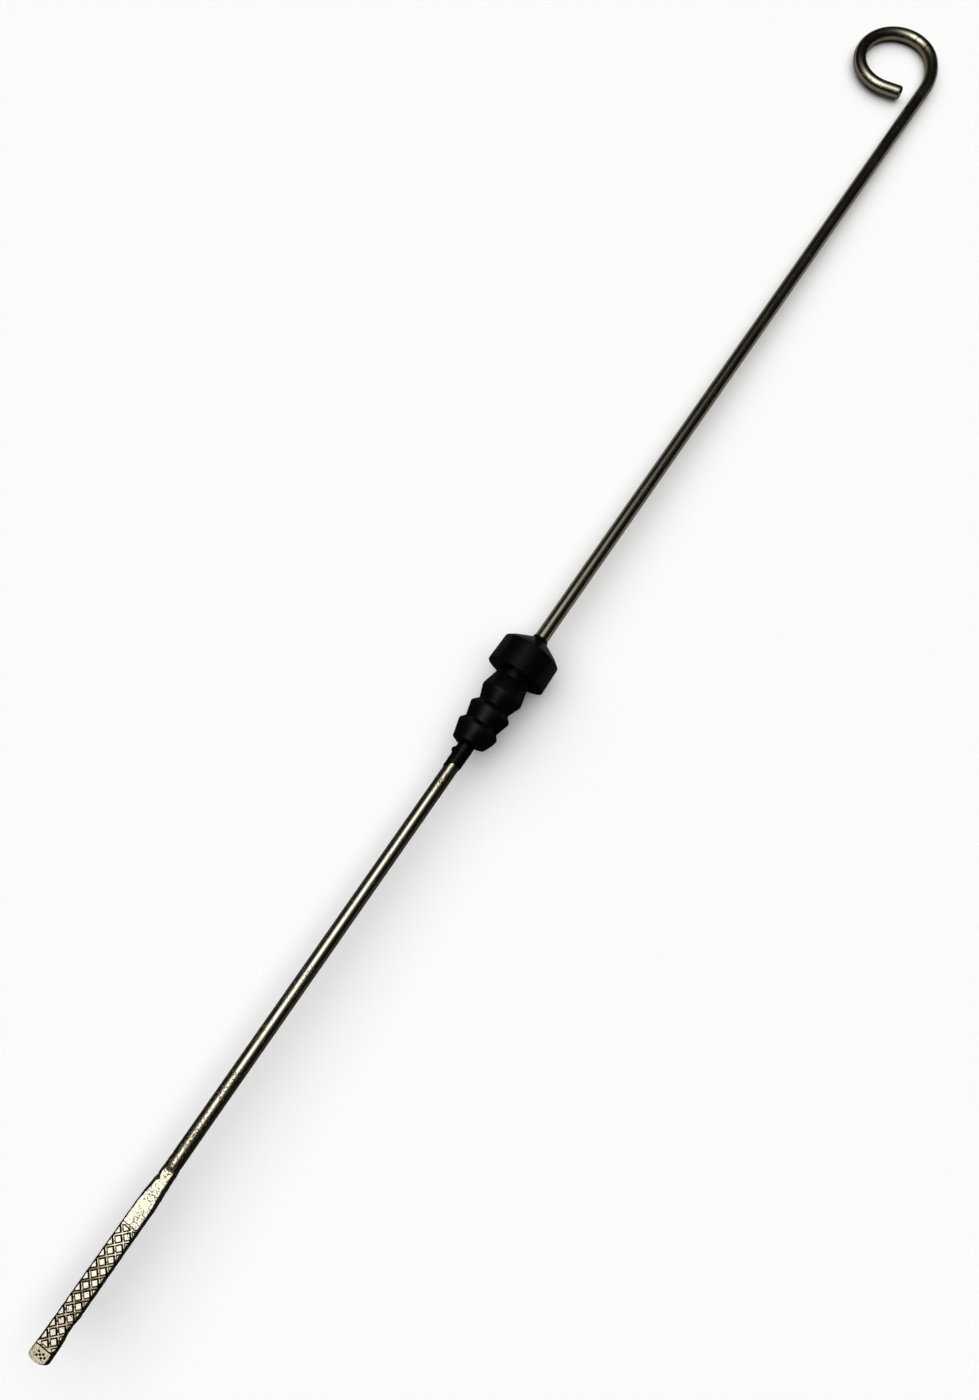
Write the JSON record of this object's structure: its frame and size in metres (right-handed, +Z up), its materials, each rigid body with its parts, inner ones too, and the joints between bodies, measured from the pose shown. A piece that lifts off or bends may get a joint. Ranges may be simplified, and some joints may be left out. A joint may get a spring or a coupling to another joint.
{
  "type": "engine oil dipstick",
  "caption": "Steel wire oil dipstick with an open finger loop, a barbed rubber stopper for its tube and a pressed, cross-hatched blade between level lines.",
  "frame": {"origin": "middle of the footprint of the lying dipstick, on the surface that it lies on", "axes": "+X along the wire from the blade to the finger loop, +Y to the side that the loop curls to, +Z up"},
  "size_m": [0.456, 0.0358, 0.0176],
  "materials": {
    "steel_wire": "bright drawn wire with a warm tint, small pits and scratches",
    "stopper_rubber": "near-black moulded rubber, satin"
  },
  "bodies": {
    "root": {"rod": "steel_wire", "stopper": "stopper_rubber"}
  },
  "joints": []
}
